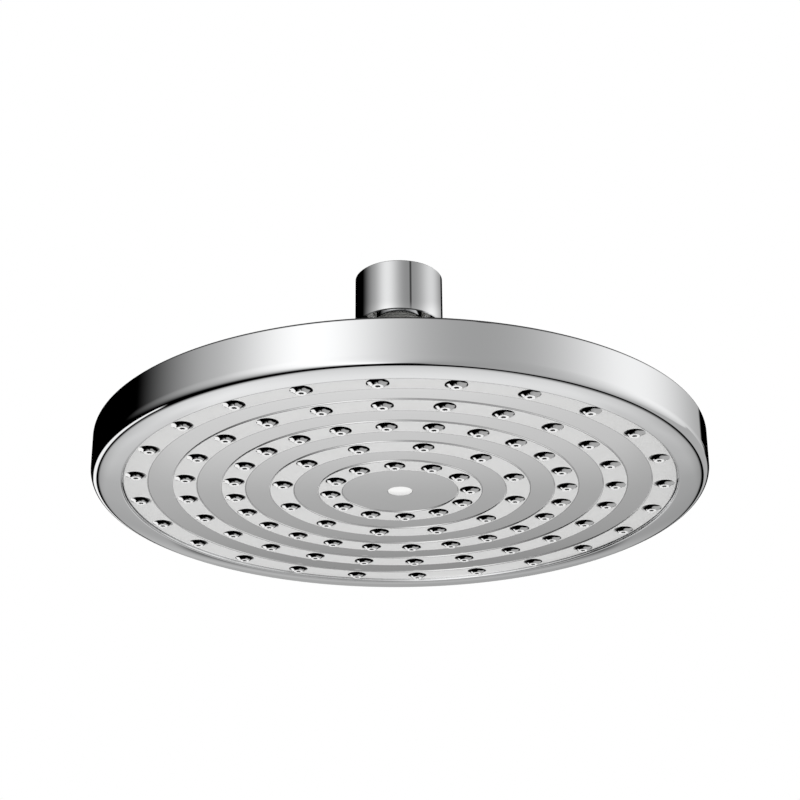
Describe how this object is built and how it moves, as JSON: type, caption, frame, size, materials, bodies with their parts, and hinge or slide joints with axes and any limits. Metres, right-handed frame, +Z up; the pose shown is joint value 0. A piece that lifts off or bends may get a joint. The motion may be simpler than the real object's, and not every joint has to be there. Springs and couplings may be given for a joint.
{
  "type": "rain shower head",
  "caption": "Round overhead shower head with a flat face of satin and polished rings, small conical nozzles and a swivel ball joint under a threaded inlet collar.",
  "frame": {"origin": "centre of the inlet thread's mouth, at the top of the collar", "axes": "+Z up along the inlet thread, out of its mouth; the spray face looks down along -Z; +X and +Y lie level"},
  "size_m": [0.2, 0.2, 0.0791],
  "materials": {
    "chrome_plating": "bright chrome plating",
    "plated_face": "bright chrome plating with satin rings",
    "white_cap": "glossy white plastic",
    "brass": "turned brass",
    "steel": "stainless steel",
    "seat_plastic": "natural bearing plastic",
    "limiter_plastic": "moulded green plastic",
    "black_rubber": "black sealing rubber"
  },
  "bodies": {
    "inlet": {"inlet_connector": "chrome_plating", "inlet_washer": "black_rubber", "flow_regulator": "limiter_plastic", "regulator_ring": "black_rubber", "filter_screen": "steel"},
    "upper_seat": {"ball_seat_ring": "seat_plastic"},
    "lower_seat": {"ball_seal": "black_rubber"},
    "head": {"ball_nut": "chrome_plating", "ball_socket": "brass", "socket_gasket": "black_rubber", "rear_cover": "chrome_plating", "rim_ring": "chrome_plating", "spray_plate": "plated_face", "rim_seal": "black_rubber", "centre_screw": "steel", "screw_seal": "black_rubber", "screw_insert": "brass", "centre_cap": "white_cap"}
  },
  "joints": [
    {"name": "swivel", "type": "hinge", "parent": "inlet", "child": "upper_seat", "pos_m": [0, 0, -0.0361], "axis": [0, 0, 1], "continuous": true},
    {"name": "tilt", "type": "hinge", "parent": "upper_seat", "child": "lower_seat", "pos_m": [0, 0, -0.0361], "axis": [1, 0, 0], "range_deg": [-15, 15]},
    {"name": "head_spin", "type": "hinge", "parent": "lower_seat", "child": "head", "pos_m": [0, 0, -0.0361], "axis": [0, 0, 1], "continuous": true}
  ]
}
